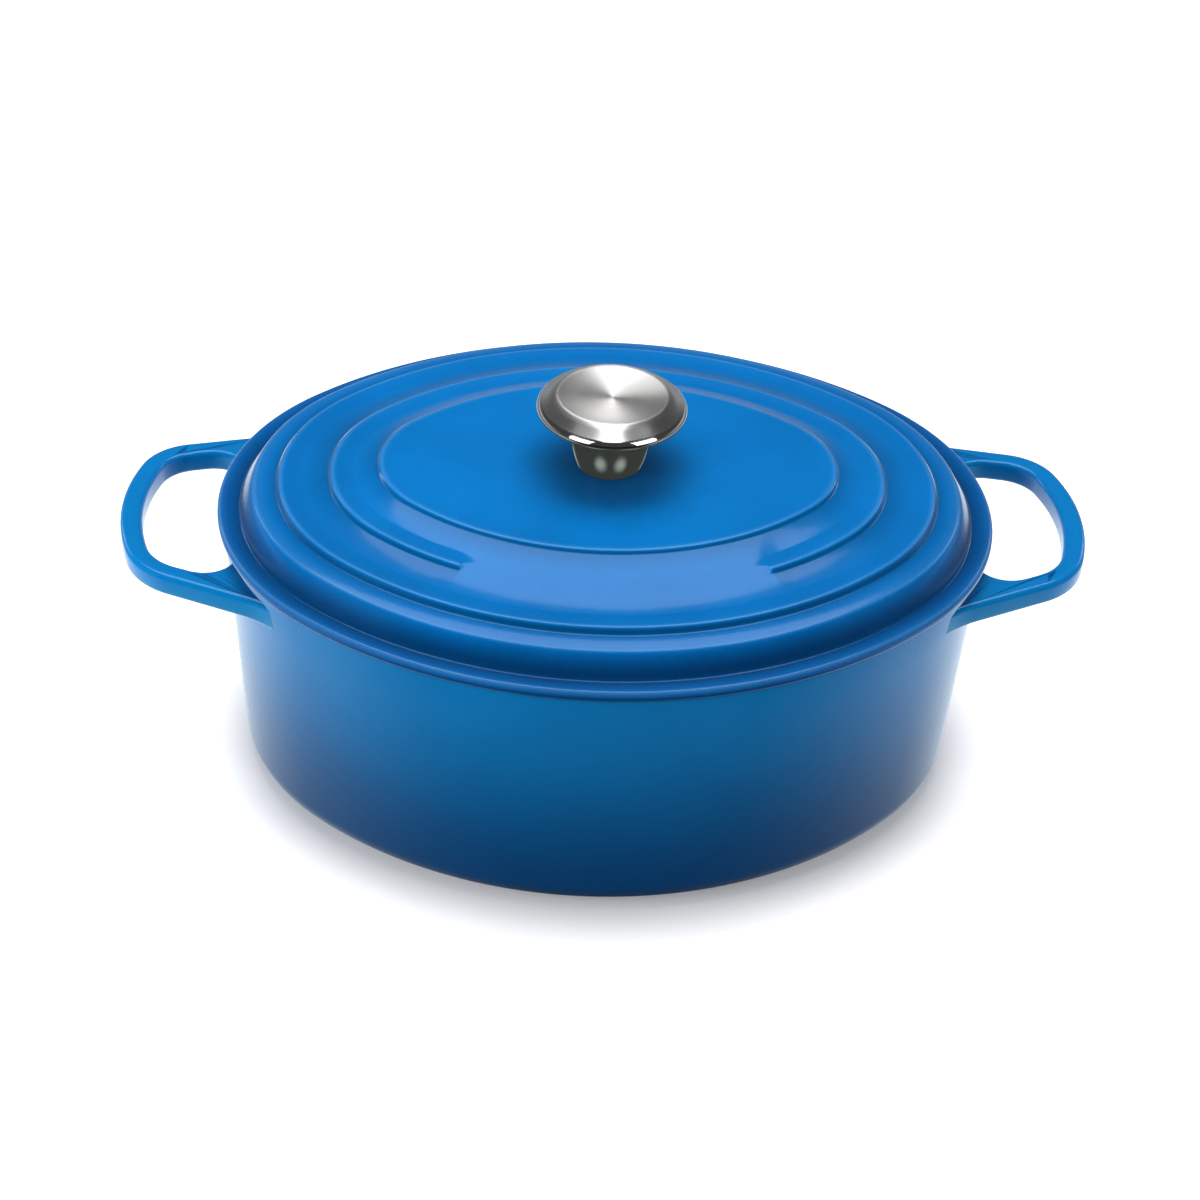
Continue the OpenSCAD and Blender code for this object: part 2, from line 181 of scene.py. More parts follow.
# Glass enamel lies in a skin like fine orange peel, with faint clouds in its colour.
def make_glaze_group():
    group = bpy.data.node_groups.new("glaze_skin", "ShaderNodeTree")
    face = group.interface
    for socket, kind, value in (
        ("Colour", "NodeSocketColor", (0.5, 0.5, 0.5, 1)),
        ("Clouds", "NodeSocketFloat", 0.05),
        ("Peel", "NodeSocketFloat", 0.05),
        ("Roughness", "NodeSocketFloat", 0.2),
    ):
        s = face.new_socket(socket, in_out="INPUT", socket_type=kind)
        s.default_value = value
    face.new_socket("Colour", in_out="OUTPUT", socket_type="NodeSocketColor")
    face.new_socket("Roughness", in_out="OUTPUT", socket_type="NodeSocketFloat")
    face.new_socket("Normal", in_out="OUTPUT", socket_type="NodeSocketVector")
    n, link = group.nodes, group.links.new
    inp, out = n.new("NodeGroupInput"), n.new("NodeGroupOutput")
    place = n.new("ShaderNodeTexCoord")

    clouds = n.new("ShaderNodeTexNoise")
    clouds.inputs["Scale"].default_value = 22.0
    clouds.inputs["Detail"].default_value = 4.0
    speck = n.new("ShaderNodeTexNoise")
    speck.inputs["Scale"].default_value = 900.0
    speck.inputs["Detail"].default_value = 2.0
    peel = n.new("ShaderNodeTexNoise")
    peel.inputs["Scale"].default_value = 260.0
    peel.inputs["Detail"].default_value = 1.5
    for texture in (clouds, speck, peel):
        link(place.outputs["Object"], texture.inputs["Vector"])

    both = n.new("ShaderNodeMath")
    both.operation = "MULTIPLY_ADD"
    link(speck.outputs["Fac"], both.inputs[0])
    both.inputs[1].default_value = 0.5
    link(clouds.outputs["Fac"], both.inputs[2])
    shade = n.new("ShaderNodeMath")
    shade.operation = "SUBTRACT"
    link(both.outputs[0], shade.inputs[0])
    shade.inputs[1].default_value = 0.75
    share = n.new("ShaderNodeMath")
    share.operation = "MULTIPLY_ADD"
    link(shade.outputs[0], share.inputs[0])
    link(inp.outputs["Clouds"], share.inputs[1])
    share.inputs[2].default_value = 1.0
    tint = n.new("ShaderNodeVectorMath")
    tint.operation = "SCALE"
    link(inp.outputs["Colour"], tint.inputs[0])
    link(share.outputs[0], tint.inputs["Scale"])
    link(tint.outputs[0], out.inputs["Colour"])

    rough = n.new("ShaderNodeMath")
    rough.operation = "MULTIPLY_ADD"
    link(shade.outputs[0], rough.inputs[0])
    rough.inputs[1].default_value = 0.06
    link(inp.outputs["Roughness"], rough.inputs[2])
    link(rough.outputs[0], out.inputs["Roughness"])

    bump = n.new("ShaderNodeBump")
    bump.inputs["Distance"].default_value = 0.0003
    link(inp.outputs["Peel"], bump.inputs["Strength"])
    link(peel.outputs["Fac"], bump.inputs["Height"])
    link(bump.outputs["Normal"], out.inputs["Normal"])
    return group


glaze_skin = make_glaze_group()


def enamel(name, low, high, z_low, z_high, roughness, clouds, peel, coat, glaze_and_painted_light=""):
    """Glass enamel whose colour runs from low to high between two heights."""
    material, tree, shader = new_material(name, high)
    n, link = tree.nodes, tree.links.new
    place = n.new("ShaderNodeTexCoord")
    split = n.new("ShaderNodeSeparateXYZ")
    link(place.outputs["Object"], split.inputs[0])
    height = n.new("ShaderNodeMapRange")
    height.inputs["From Min"].default_value = z_low
    height.inputs["From Max"].default_value = z_high
    link(split.outputs["Z"], height.inputs["Value"])
    ramp = n.new("ShaderNodeValToRGB")
    ramp.color_ramp.interpolation = "EASE"
    ramp.color_ramp.elements[0].color = (*low, 1)
    ramp.color_ramp.elements[1].color = (*high, 1)
    link(height.outputs[0], ramp.inputs[0])
    skin = n.new("ShaderNodeGroup")
    skin.node_tree = glaze_skin
    link(ramp.outputs["Color"], skin.inputs["Colour"])
    if glaze_and_painted_light:
        lies = n.new("ShaderNodeAttribute")
        lies.attribute_name = glaze_and_painted_light
        # Where the enamel pools in steps and scoops the colour is multiplied darker, for the deeper enamel
        # and for painted shade in these creases; under the flange's lower edge it is a painted shadow
        pool_shade_ramp = n.new("ShaderNodeValToRGB")
        pool_shade_ramp.color_ramp.elements[0].color = (0.50, 0.50, 0.50, 1)
        pool_shade_ramp.color_ramp.elements[1].position = 0.5
        link(lies.outputs["Fac"], pool_shade_ramp.inputs[0])
        pool_shade_mix = n.new("ShaderNodeMix")
        pool_shade_mix.data_type, pool_shade_mix.blend_type = "RGBA", "MULTIPLY"
        pool_shade_mix.inputs[0].default_value = 1.0
        link(ramp.outputs["Color"], pool_shade_mix.inputs[6])
        link(pool_shade_ramp.outputs["Color"], pool_shade_mix.inputs[7])
        # Crests: lighter for the thinner enamel there and for a painted highlight along them; the colour is
        # mixed towards a pale blue
        thin_and_highlit = n.new("ShaderNodeMapRange")
        thin_and_highlit.inputs["From Min"].default_value = 0.5
        thin_and_highlit.inputs["To Max"].default_value = 0.28
        link(lies.outputs["Fac"], thin_and_highlit.inputs["Value"])
        bright = n.new("ShaderNodeMix")
        bright.data_type = "RGBA"
        bright.inputs[7].default_value = (0.13, 0.42, 0.80, 1)
        link(thin_and_highlit.outputs[0], bright.inputs[0])
        link(pool_shade_mix.outputs[2], bright.inputs[6])
        # Painted shade: ambient occlusion darkens the colour near other surfaces, in the scoops and round the
        # knob's foot as a painted contact shadow
        painted_shade_ao = n.new("ShaderNodeAmbientOcclusion")
        painted_shade_ao.samples = 8
        painted_shade_ao.inputs["Distance"].default_value = 0.028
        painted_shade_level = n.new("ShaderNodeMapRange")
        painted_shade_level.inputs["From Min"].default_value = 0.30
        painted_shade_level.inputs["From Max"].default_value = 0.90
        painted_shade_level.inputs["To Min"].default_value = 0.42
        link(painted_shade_ao.outputs["AO"], painted_shade_level.inputs["Value"])
        shaded = n.new("ShaderNodeVectorMath")
        shaded.operation = "SCALE"
        link(bright.outputs[2], shaded.inputs[0])
        link(painted_shade_level.outputs[0], shaded.inputs["Scale"])
        link(shaded.outputs[0], skin.inputs["Colour"])
    skin.inputs["Clouds"].default_value = clouds
    skin.inputs["Peel"].default_value = peel
    skin.inputs["Roughness"].default_value = roughness
    link(skin.outputs["Colour"], shader.inputs["Base Color"])
    link(skin.outputs["Roughness"], shader.inputs["Roughness"])
    link(skin.outputs["Normal"], shader.inputs["Normal"])
    shader.inputs["Specular IOR Level"].default_value = 0.35
    shader.inputs["Specular Tint"].default_value = (*(0.08 + 0.92 * c / max(high) for c in high), 1)
    shader.inputs["Coat Weight"].default_value = coat
    shader.inputs["Coat Roughness"].default_value = 0.10
    shader.inputs["Coat IOR"].default_value = 1.4
    return material


POT_DARK = (0.0, 0.062, 0.200)
POT_BLUE = (0.0, 0.208, 0.530)
pot_blue = enamel("pot_blue_enamel", POT_DARK, POT_BLUE, 0.010, 0.116, 0.30, 0.24, 0.14, 1.0)
put_on(pot, pot_blue, "blue_enamel", "pot", "pot_body")

# ---------------------------------------------------------------------------
# The two loop handles, cast in one with the pot just below its rim and coated
# with it: a flat bar with small rounded edges that runs round a big loop and
# flares into the wall with a web at each root.
# ---------------------------------------------------------------------------
HANDLE_END = 0.1995
BOW_RADIUS = 0.100
BOW_TURN = 18
HANDLE_RADIUS = 0.028
HANDLE_TURN = 71.5
HANDLE_BAR = 0.009
HANDLE_RISE = 0.08
HANDLE_TOP = POT_HEIGHT - 0.0026
HANDLE_THICK = 0.0095


def rounded(corners, steps=8):
    """A chain through corners given as (x, y, radius), with each corner rounded."""
    out = [Vector(corners[0][:2])]
    for before, here, after in zip(corners, corners[1:], corners[2:]):
        p, r = Vector(here[:2]), here[2]
        a = (Vector(before[:2]) - p).normalized()
        b = (Vector(after[:2]) - p).normalized()
        half = a.angle(b) / 2
        centre = p + (a + b).normalized() * r / math.sin(half)
        start, end = p + a * r / math.tan(half), p + b * r / math.tan(half)
        first = math.atan2(start.y - centre.y, start.x - centre.x)
        turn = math.atan2(end.y - centre.y, end.x - centre.x) - first
        turn = (turn + math.pi) % (2 * math.pi) - math.pi
        for i in range(steps + 1):
            a = first + turn * i / steps
            out.append(centre + r * Vector((math.cos(a), math.sin(a))))
    return out + [Vector(corners[-1][:2])]


def handle_chain(inset, root):
    """Half of one side of the bar: its bowed end, its corner and its root in the wall."""
    bow = Vector((HANDLE_END - BOW_RADIUS, 0.0))
    turn = math.radians(BOW_TURN)
    corner = bow + (BOW_RADIUS - HANDLE_RADIUS) * Vector((math.cos(turn), math.sin(turn)))
    chain = []
    for i in range(8):
        a = turn * i / 8
        chain.append(bow + (BOW_RADIUS - inset) * Vector((math.cos(a), math.sin(a))))
    for i in range(25):
        a = turn + (math.radians(HANDLE_TURN) - turn) * i / 24
        chain.append(corner + (HANDLE_RADIUS - inset) * Vector((math.cos(a), math.sin(a))))
    return chain[:-1] + rounded([(*chain[-1], 0)] + root, 14)


outer = handle_chain(0.0, [(0.1396, 0.0614, 0.040), (0.1285, 0.0700, 0)])
inner = handle_chain(HANDLE_BAR, [(0.1438, 0.0504, 0.0130), (0.1543, 0.0180, 0)])
inner = [p for p in inner if distance_out(p.x, p.y) > -0.0040]


def loop_handle(name, side):
    """Two chains bridged into a flat strip, thickened upwards, with its edges rounded."""
    low = HANDLE_TOP - HANDLE_THICK
    for_outer = [(p.x, -p.y, low) for p in reversed(outer[1:])] + [(p.x, p.y, low) for p in outer]
    for_inner = [(p.x, -p.y, low) for p in reversed(inner[1:])] + [(p.x, p.y, low) for p in inner]
    first = draw_profile(name, for_outer)
    bpy.ops.object.mode_set(mode="OBJECT")
    second = draw_profile(name + "_inner", for_inner)
    bpy.ops.object.mode_set(mode="OBJECT")
    first.select_set(True)
    bpy.context.view_layer.objects.active = first
    bpy.ops.object.join()
    bpy.ops.object.mode_set(mode="EDIT")
    bpy.ops.mesh.select_all(action="SELECT")
    bpy.ops.mesh.bridge_edge_loops()
    bpy.ops.mesh.select_all(action="SELECT")
    bpy.ops.mesh.extrude_region_move(TRANSFORM_OT_translate={"value": (0, 0, HANDLE_THICK)})
    bpy.ops.mesh.select_all(action="SELECT")
    bpy.ops.mesh.normals_make_consistent(inside=False)
    bpy.ops.object.mode_set(mode="OBJECT")
    bevel = first.modifiers.new("rounded_edges", "BEVEL")
    bevel.width = 0.0023
    bevel.segments = 5
    bevel.limit_method = "ANGLE"
    bevel.angle_limit = math.radians(50)
    bpy.ops.object.modifier_apply(modifier=bevel.name)
    for vertex in first.data.vertices:
        x, y, z = vertex.co
        near_wall = min(1, max(0, 1 - (distance_out(x, y) + 0.004) / 0.014))
        if z < low + HANDLE_THICK / 2:
            vertex.co.z -= 0.0012 * near_wall**2
        vertex.co.z += HANDLE_RISE * (x - LID_HALF_LENGTH)
    if side < 0:
        first.data.transform(Matrix.Rotation(math.pi, 4, "Z"))
    bpy.ops.object.shade_smooth_by_angle(angle=math.radians(40))
    return first


# Painted shade: the bar's colour runs from a darker blue on its lower sides up to a brighter blue on its top
HANDLE_SHADED_SIDE_BLUE = (0.0, 0.240, 0.540)
HANDLE_BLUE = (0.0, 0.235, 0.640)
handle_blue = enamel("handle_blue_enamel", HANDLE_SHADED_SIDE_BLUE, HANDLE_BLUE, 0.102, 0.112, 0.22, 0.10, 0.10, 0.9)
for name, side, node in (("handle_right", 1, "right_handle"), ("handle_left", -1, "left_handle")):
    put_on(loop_handle(name, side), handle_blue, "blue_enamel", "pot", node)

# ---------------------------------------------------------------------------
# Inside the pot: a hard sand coloured enamel, fused on at 800 degrees. The
# rim has a matt black coat, where lid and pot bear on each other.
# ---------------------------------------------------------------------------
lining = [(-0.060, FLOOR)] + arc(cavity_x - 0.020, FLOOR + 0.020, 0.020, -90, 0, 14)
lining += [(wall_at(rim_z) - WALL, rim_z)]
lining += [(wall_at(rim_z) - WALL - COAT, rim_z)]
lining += arc(cavity_x - 0.020, FLOOR + 0.020, 0.020 - COAT, 0, -90, 14) + [(-0.060, FLOOR + COAT)]
pot_lining = carry_round_oval("pot_lining_coat", lining)
sand = enamel("sand_enamel", (0.60, 0.50, 0.36), (0.66, 0.57, 0.42), 0.0, 0.12, 0.16, 0.06, 0.06, 0.4)
put_on(pot_lining, sand, "sand_enamel", "pot", "pot_lining")

rim_inside = wall_at(rim_z) - WALL - COAT
rim = [(rim_inside, rim_z), (wall_at(rim_z), rim_z)]
rim += [(wall_at(POT_HEIGHT), POT_HEIGHT - 0.0002), (wall_at(POT_HEIGHT) - 0.0003, POT_HEIGHT)]
rim += [(rim_inside + 0.0003, POT_HEIGHT), (rim_inside, POT_HEIGHT - 0.0003)]
rim_coat = carry_round_oval("pot_rim_black", rim + rim[:1])
DEEP_BLACK = (0.018, 0.018, 0.019)
SOFT_BLACK = (0.020, 0.020, 0.021)
black = enamel("matt_black_enamel", DEEP_BLACK, SOFT_BLACK, 0.0, 0.12, 0.62, 0.25, 0.30, 0.0)
put_on(rim_coat, black, "black_enamel", "pot", "pot_rim_coat")

# ---------------------------------------------------------------------------
# The lid: one iron casting with a thin flange, a wall, a ledge and three
# raised rings in terraces up to a flat middle. Each crest is lighter, for thinner enamel
# and a painted highlight; scoops and steps are darker, for pooled enamel and painted shade; the colour
# darkens down the wall to the flange.
# ---------------------------------------------------------------------------
FLANGE_BOTTOM = POT_HEIGHT + COAT
FLANGE = 0.0044
FLANGE_TOP = FLANGE_BOTTOM + FLANGE
RIDGE_OUT = -WALL_INSET - WALL - COAT - 0.0012
RIDGE_IN = RIDGE_OUT - 0.0035
OUTER_RING = -0.0261
MIDDLE_RING = -0.0473
INNER_RING = -0.0672
PANEL_HALF = 0.060


def ring(crest, height, step, step_w=0.0026, scoop=0.0086, dip=0.0010):
    """A raised ring: its steep outer step, its rounded crest and the scoop inside it."""
    ground = height - step
    run = ease((crest + step_w, ground), (crest + 0.0003, height - 0.0001), 7)
    run += [(crest - 0.0003, height), (crest - 0.0010, height - 0.0001)]
    for i in range(1, 9):
        t = i / 8
        run.append((crest - 0.0010 - (scoop - 0.001) * t, height - dip * (1 - (1 - t) ** 2) + 0.0002 * t))
    return run


top = arc(-0.0019, FLANGE - 0.0019, 0.0019, 0, 90, 7)
top += [(-0.0045, FLANGE - 0.0004), (-0.0065, FLANGE - 0.0008)]
top += ease((-0.0082, FLANGE - 0.001), (-0.0156, FLANGE + 0.0085), 16)
top += [(-0.0164, FLANGE + 0.0087), (-0.020, FLANGE + 0.0091), (-0.0230, FLANGE + 0.0094)]
top += ring(OUTER_RING, FLANGE + 0.0119, 0.0025)
top += ring(MIDDLE_RING, FLANGE + 0.0147, 0.0018)
top += ring(INNER_RING, FLANGE + 0.0185, 0.0014, dip=0.0005)
top += [(-0.080, FLANGE + 0.0183), (-0.085, FLANGE + 0.01845)]
top += [(d, FLANGE + 0.0185) for d in (-0.090, -0.096, -0.102)]
top = [(d, z + FLANGE_BOTTOM) for d, z in top]
under = [(-0.1020, 0.0143), (-0.0715, 0.0143), (-0.0586, 0.0119), (-0.0473, 0.0087), (-0.0306, 0.0068)]
under = [(d, z + FLANGE_TOP) for d, z in under]
under += list(reversed(ease((RIDGE_IN, FLANGE_BOTTOM), (RIDGE_IN - 0.007, FLANGE_TOP + 0.0048), 8)))
ridge_bottom = POT_HEIGHT - 0.004
ridge = [(RIDGE_IN, ridge_bottom + 0.0004), (RIDGE_IN + 0.0004, ridge_bottom)]
ridge += [(RIDGE_OUT - 0.0006, ridge_bottom), (RIDGE_OUT, ridge_bottom + 0.0006), (RIDGE_OUT, FLANGE_BOTTOM)]
edge = arc(-0.0019, FLANGE_BOTTOM + 0.0019, 0.0019, -90, 0, 6)

# The middle ring stops short of a smooth panel at the front of the lid
side_angle = math.asin(PANEL_HALF / (side_radius + MIDDLE_RING))
half_front = math.pi / 2 - join
fine = math.radians(2.4)
run_in, middle = (half_front - side_angle - fine, 14), (2 * (side_angle - fine), 40)
front = [run_in, (2 * fine, 24), middle, (2 * fine, 24), run_in]
lid = carry_round_oval("lid_casting", under + ridge + edge + top[1:], front=front)
terrace = (-0.0345, FLANGE_TOP + 0.0110), (-0.0646, FLANGE_TOP + 0.0171)
for vertex in lid.data.vertices:
    x, y, z = vertex.co
    d = distance_out(x, y)
    if y < 0 and terrace[1][0] < d < terrace[0][0] and z > FLANGE_TOP + 0.0095:
        past = (side_angle - abs(math.asin(x / (side_radius + d)))) * (side_radius + d)
        off = min(1, abs(d - MIDDLE_RING) / 0.0105)
        past += 0.010 * (1 - math.sqrt(1 - off * off))
        fade = 0.0028 + 0.018 * min(1, max(0, (abs(d - MIDDLE_RING) - 0.0008) / 0.0032))
        share = min(1, max(0, 0.5 - past / fade))
        share = share * share * (3 - 2 * share)
        t = (d - terrace[0][0]) / (terrace[1][0] - terrace[0][0])
        smooth = terrace[0][1] + (terrace[1][1] - terrace[0][1]) * t
        vertex.co.z = smooth + (z - smooth) * share

# How the enamel lies, with painted light: 1 where it runs thinner on crests and edges, with a painted
# highlight there, 0 where it pools, with painted shade there, 0.5 elsewhere
CREST_WIDTH = 0.0008
crests = (OUTER_RING, MIDDLE_RING, INNER_RING, -0.0156, -0.0010)
pools_and_shade = (
    (OUTER_RING + 0.0015, 0.0015),
    (MIDDLE_RING + 0.0017, 0.0012),
    (INNER_RING + 0.0017, 0.0012),
    (-0.0098, 0.0032),
)
glaze_and_painted_light = lid.data.attributes.new("glaze_and_painted_light", "FLOAT", "POINT")
for vertex in lid.data.vertices:
    x, y, z = vertex.co
    d = distance_out(x, y)
    thin_and_highlit = pooled_and_shaded = 0.0
    for crest in crests:
        thin_and_highlit = max(thin_and_highlit, math.exp(-(((d - crest) / CREST_WIDTH) ** 2)))
    # Painted shadow: the flange's lower edge is marked as pooled, to darken it like the shadow in the gap
    # over the pot's rim
    if z < FLANGE_BOTTOM + 0.0027 and d > -0.004:
        thin_and_highlit, pooled_and_shaded = 0.0, 1.0
    for step, width in pools_and_shade:
        pooled_and_shaded = max(pooled_and_shaded, math.exp(-(((d - step) / width) ** 2)))
    if y < 0 and abs(d - MIDDLE_RING) < 0.004 and abs(math.asin(x / (side_radius + d))) < side_angle:
        thin_and_highlit = pooled_and_shaded = 0.0
    glaze_and_painted_light.data[vertex.index].value = 0.5 + 0.5 * thin_and_highlit - 0.5 * pooled_and_shaded * (1 - thin_and_highlit) if z > FLANGE_BOTTOM else 0.5

LID_DARK = (0.0, 0.118, 0.405)
LID_BLUE = (0.0, 0.215, 0.640)
fade_from = FLANGE_TOP - 0.001
fade_to = FLANGE_TOP + 0.017
lid_blue = enamel("lid_blue_enamel", LID_DARK, LID_BLUE, fade_from, fade_to, 0.22, 0.38, 0.22, 0.45, "glaze_and_painted_light")
put_on(lid, lid_blue, "blue_enamel", "lid", "lid_body")

# ---------------------------------------------------------------------------
# Under the lid: the same sand enamel as in the pot, and a matt black coat on
# the flange where it lies on the pot's rim.
# ---------------------------------------------------------------------------
face = under + [(RIDGE_IN, POT_HEIGHT - 0.0034)]
skin = [(under[0][0], under[0][1] - COAT)]
skin += [(d - COAT, z - COAT) for d, z in face[1:-1]] + [(RIDGE_IN - COAT, POT_HEIGHT - 0.0034)]
lid_lining = carry_round_oval("lid_lining_coat", skin + list(reversed(face)))
put_on(lid_lining, sand, "sand_enamel", "lid", "lid_lining")

seat = [(RIDGE_OUT, POT_HEIGHT), (-0.0022, POT_HEIGHT), (-0.0019, FLANGE_BOTTOM), (RIDGE_OUT, FLANGE_BOTTOM)]
lid_seat = carry_round_oval("lid_rim_black", seat + seat[:1])
put_on(lid_seat, black, "black_enamel", "lid", "lid_rim_coat")

# ---------------------------------------------------------------------------
# The knob: a hollow of two pressed sheets of stainless steel, 1.2 mm thick.
# The cap is turned and brushed in circles; the neck and the shell under the
# cap are polished. The cap's lip is rolled over the lower shell.
# ---------------------------------------------------------------------------
PLATEAU = FLANGE_TOP + 0.0185
KNOB_RADIUS = 0.0305
WAIST = 0.0258
KNOB_TOP = WAIST + 0.0067


def turn_round(name, profile, steps=128, angle=35):
    """Spins a profile of (radius, height over the lid) once round the knob's axis."""
    piece = draw_profile(name, [(r, 0.0, z + PLATEAU) for r, z in profile])
    bpy.ops.mesh.spin(steps=steps, angle=2 * math.pi, center=(0, 0, 0), axis=(0, 0, 1))
    return close_up(piece, angle)


cap = [(0.0, KNOB_TOP - 0.0014)]
cap += [(0.0240 * t, KNOB_TOP - 0.0014 * (1 - t * t)) for t in (0.15, 0.3, 0.45, 0.6, 0.75, 0.88, 0.96)]
cap = cap[:-2] + [(0.0212, KNOB_TOP - 0.0002), (0.0222, KNOB_TOP), (0.0232, KNOB_TOP - 0.0002)]
cap += [(0.0242, KNOB_TOP - 0.0007), (0.0256, WAIST + 0.0054), (0.0270, WAIST + 0.0040)]
cap += arc(KNOB_RADIUS - 0.0035, WAIST + 0.0002, 0.0035, 55, 0, 8)
cap += arc(KNOB_RADIUS - 0.0010, WAIST + 0.0002, 0.0010, -10, -90, 6)
cap += [(KNOB_RADIUS - 0.0022, WAIST - 0.0008), (KNOB_RADIUS - 0.0022, WAIST + 0.0002)]
cap += [(0.0225, KNOB_TOP - 0.0018), (0.0, KNOB_TOP - 0.0026)]
knob_cap = turn_round("knob_cap_brushed", cap)

bowl = []
for i in range(13):
    t = i / 12
    bowl.append((0.0160 - 0.0026 * (1 - t) ** 3, 0.0008 + 0.0197 * t))
neck = [(0.0126, 0.0), (0.0132, 0.0002)] + bowl
neck += [(0.0166, 0.0208), (0.0175, 0.0211), (0.0176, 0.0216), (0.0176, 0.0222)]
neck += [(0.0195, 0.0228), (0.0225, 0.0234), (0.0265, 0.0243), (0.0288, 0.0251)]
neck += [(0.0280, 0.0260), (0.0176, 0.0236), (0.0148, 0.0217)]
neck += [(r - 0.0012, z) for r, z in reversed(bowl)] + [(0.0122, 0.0)]
knob_neck = turn_round("knob_neck_polished", neck + neck[:1], angle=30)


def steel(name, colour, roughness, anisotropy, lines, spread, polished_from=0.0):
    """Stainless steel turned on a lathe: fine rings round the axis in its roughness and its relief."""
    material, tree, shader = new_material(name, colour)
    n, link = tree.nodes, tree.links.new
    place = n.new("ShaderNodeTexCoord")
    split = n.new("ShaderNodeSeparateXYZ")
    link(place.outputs["Object"], split.inputs[0])
    flat = n.new("ShaderNodeCombineXYZ")
    link(split.outputs["X"], flat.inputs["X"])
    link(split.outputs["Y"], flat.inputs["Y"])
    radius = n.new("ShaderNodeVectorMath")
    radius.operation = "LENGTH"
    link(flat.outputs[0], radius.inputs[0])
    row = n.new("ShaderNodeCombineXYZ")
    link(radius.outputs["Value"], row.inputs["X"])
    link(split.outputs["Z"], row.inputs["Y"])
    grooves = n.new("ShaderNodeTexNoise")
    grooves.inputs["Scale"].default_value = lines
    grooves.inputs["Detail"].default_value = 3.0
    link(row.outputs[0], grooves.inputs["Vector"])
    tone = n.new("ShaderNodeMapRange")
    tone.inputs["To Min"].default_value = 1.0 - spread
    tone.inputs["To Max"].default_value = 1.0 + spread
    link(grooves.outputs["Fac"], tone.inputs["Value"])
    tint = n.new("ShaderNodeVectorMath")
    tint.operation = "SCALE"
    tint.inputs[0].default_value = colour
    link(tone.outputs[0], tint.inputs["Scale"])
    link(tint.outputs[0], shader.inputs["Base Color"])
    rough = n.new("ShaderNodeMath")
    rough.operation = "MULTIPLY"
    rough.inputs[1].default_value = roughness
    link(tone.outputs[0], rough.inputs[0])
    link(rough.outputs[0], shader.inputs["Roughness"])
    if polished_from:
        lip = n.new("ShaderNodeMapRange")
        lip.interpolation_type = "SMOOTHSTEP"
        lip.inputs["From Min"].default_value = polished_from
        lip.inputs["From Max"].default_value = polished_from + 0.0012
        lip.inputs["To Min"].default_value = roughness
        lip.inputs["To Max"].default_value = 0.07
        link(radius.outputs["Value"], lip.inputs["Value"])
        link(lip.outputs[0], rough.inputs[1])
    bump = n.new("ShaderNodeBump")
    bump.inputs["Strength"].default_value = 0.15
    bump.inputs["Distance"].default_value = 0.00004
    link(grooves.outputs["Fac"], bump.inputs["Height"])
    link(bump.outputs["Normal"], shader.inputs["Normal"])
    shader.inputs["Metallic"].default_value = 1.0
    shader.inputs["Anisotropic"].default_value = anisotropy
    if anisotropy > 0:
        along = n.new("ShaderNodeTangent")
        along.direction_type = "RADIAL"
        along.axis = "Z"
        link(along.outputs[0], shader.inputs["Tangent"])
        shader.inputs["Anisotropic Rotation"].default_value = 0.25
    return material


brushed = steel("brushed_steel", (0.80, 0.79, 0.78), 0.30, 0.90, 2600.0, 0.12, 0.0286)
polished = steel("polished_steel", (0.60, 0.62, 0.60), 0.13, 0.0, 900.0, 0.04)
fastener = steel("fastener_steel", (0.55, 0.55, 0.54), 0.32, 0.0, 1500.0, 0.08)
put_on(knob_cap, brushed, "brushed_steel", "lid", "knob_cap")
put_on(knob_neck, polished, "polished_steel", "lid", "knob_neck")

# ---------------------------------------------------------------------------
# What holds the knob: a threaded insert in its foot, and from below the lid a
# screw with a flat washer and a spring washer, all plain stainless steel.
# ---------------------------------------------------------------------------
for node in ("knob_insert", "knob_screw", "spring_washer", "flat_washer"):
    held = frame["nodes"][node]
    held.data.materials.clear()
    held.data.materials.append(fastener)

# ---------------------------------------------------------------------------
# The studio: a pale floor, white to the eye with the pot's shadow on it and a painted
# contact shadow round its foot, in a dim room. Gloss sees the floor glow white behind the pot and a dark room
# in front.
# ---------------------------------------------------------------------------
bpy.ops.object.select_all(action="DESELECT")
bpy.ops.mesh.primitive_plane_add(size=12.0, location=(0, 0, -0.0002))
floor = bpy.context.object
floor.name = "floor"
floor_paper, tree, shader = new_material("floor_paper", (0.9, 0.9, 0.9))
shader.inputs["Base Color"].default_value = (0.80, 0.805, 0.815, 1)
shader.inputs["Roughness"].default_value = 0.7
shader.inputs["Specular IOR Level"].default_value = 0.1
nodes, link = tree.nodes, tree.links.new
seen = nodes.new("ShaderNodeLightPath")
glow = nodes.new("ShaderNodeEmission")
# Painted contact shadow: near the pot, ambient occlusion dims the floor's glow for the eye
painted_contact_shadow_ao = nodes.new("ShaderNodeAmbientOcclusion")
painted_contact_shadow_ao.samples = 16
painted_contact_shadow_ao.inputs["Distance"].default_value = 0.05
clear = nodes.new("ShaderNodeMapRange")
clear.interpolation_type = "SMOOTHSTEP"
clear.inputs["From Min"].default_value = 0.45
clear.inputs["From Max"].default_value = 0.82
clear.inputs["To Min"].default_value = 0.20
clear.inputs["To Max"].default_value = 0.74
link(painted_contact_shadow_ao.outputs["AO"], clear.inputs["Value"])
link(clear.outputs[0], glow.inputs["Strength"])
place = nodes.new("ShaderNodeTexCoord")
split = nodes.new("ShaderNodeSeparateXYZ")
link(place.outputs["Object"], split.inputs[0])
behind = nodes.new("ShaderNodeMapRange")
behind.interpolation_type = "SMOOTHSTEP"
behind.inputs["From Min"].default_value = -0.12
behind.inputs["From Max"].default_value = 0.25
behind.inputs["To Min"].default_value = 0.05
behind.inputs["To Max"].default_value = 1.25
